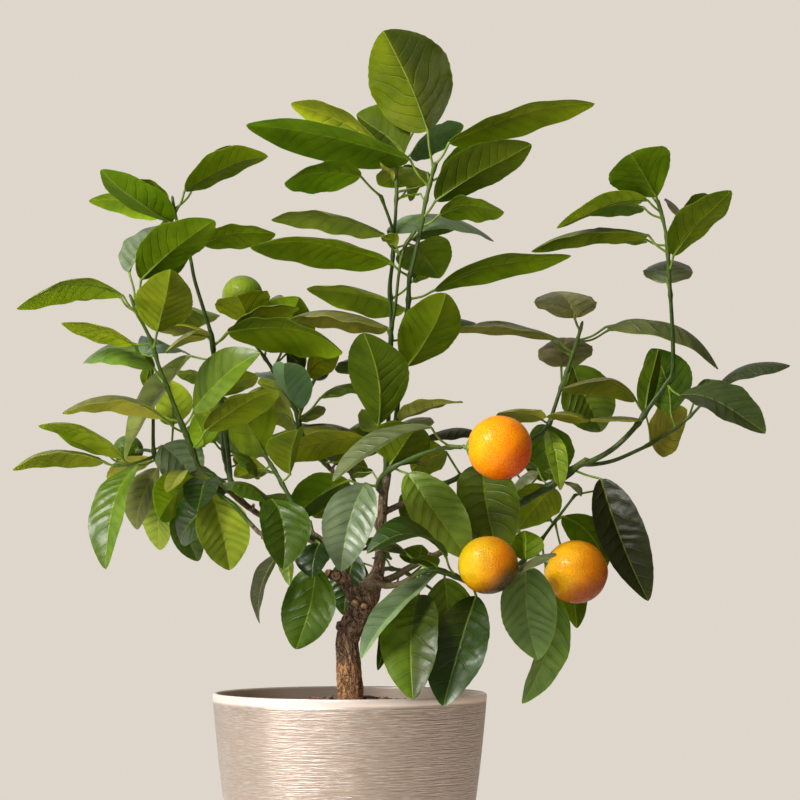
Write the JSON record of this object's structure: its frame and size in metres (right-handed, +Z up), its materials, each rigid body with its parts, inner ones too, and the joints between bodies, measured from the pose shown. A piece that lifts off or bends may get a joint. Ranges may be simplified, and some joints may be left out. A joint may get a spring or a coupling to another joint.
{
  "type": "potted mandarin tree",
  "caption": "Small forked citrus tree with glossy leaves, ripe and unripe fruits, growing from soil in a tapered round metal pot.",
  "frame": {"origin": "centre of the pot's underside", "axes": "+Z up along the pot's axis, -Y towards the front that the picture shows"},
  "size_m": [0.5217, 0.2794, 0.6152],
  "materials": {
    "pot": "brushed champagne-coloured metal",
    "soil": "damp potting soil with bark crumbs",
    "bark": "rough dark brown bark",
    "leaves": "living citrus leaves, glossy above and matt below",
    "ripe_rind": "ripe mandarin rind, satin and dimpled",
    "unripe_rind": "unripe mandarin rind, satin and dimpled"
  },
  "bodies": {
    "root": {"pot": "pot", "soil": "soil", "trunk": "bark", "shoot_top_right": "leaves", "shoot_top_left": "leaves", "shoot_left_high": "leaves", "shoot_left_outer": "leaves", "shoot_left_mid": "leaves", "shoot_left_centre": "leaves", "shoot_left_inner": "leaves", "shoot_left_low": "leaves", "shoot_front_left": "leaves", "shoot_middle": "leaves", "shoot_right_inner": "leaves", "shoot_right_arm": "leaves", "shoot_right_high": "leaves", "shoot_right_side": "leaves", "shoot_low_right": "leaves", "shoot_back_left": "leaves", "shoot_back_centre": "leaves", "shoot_back_right": "leaves", "shoot_back_top": "leaves", "shoot_back_low": "leaves", "mandarin_upper": "ripe_rind", "mandarin_centre": "ripe_rind", "mandarin_right": "ripe_rind", "green_high": "unripe_rind", "green_mid": "unripe_rind", "green_left": "unripe_rind"}
  },
  "joints": []
}
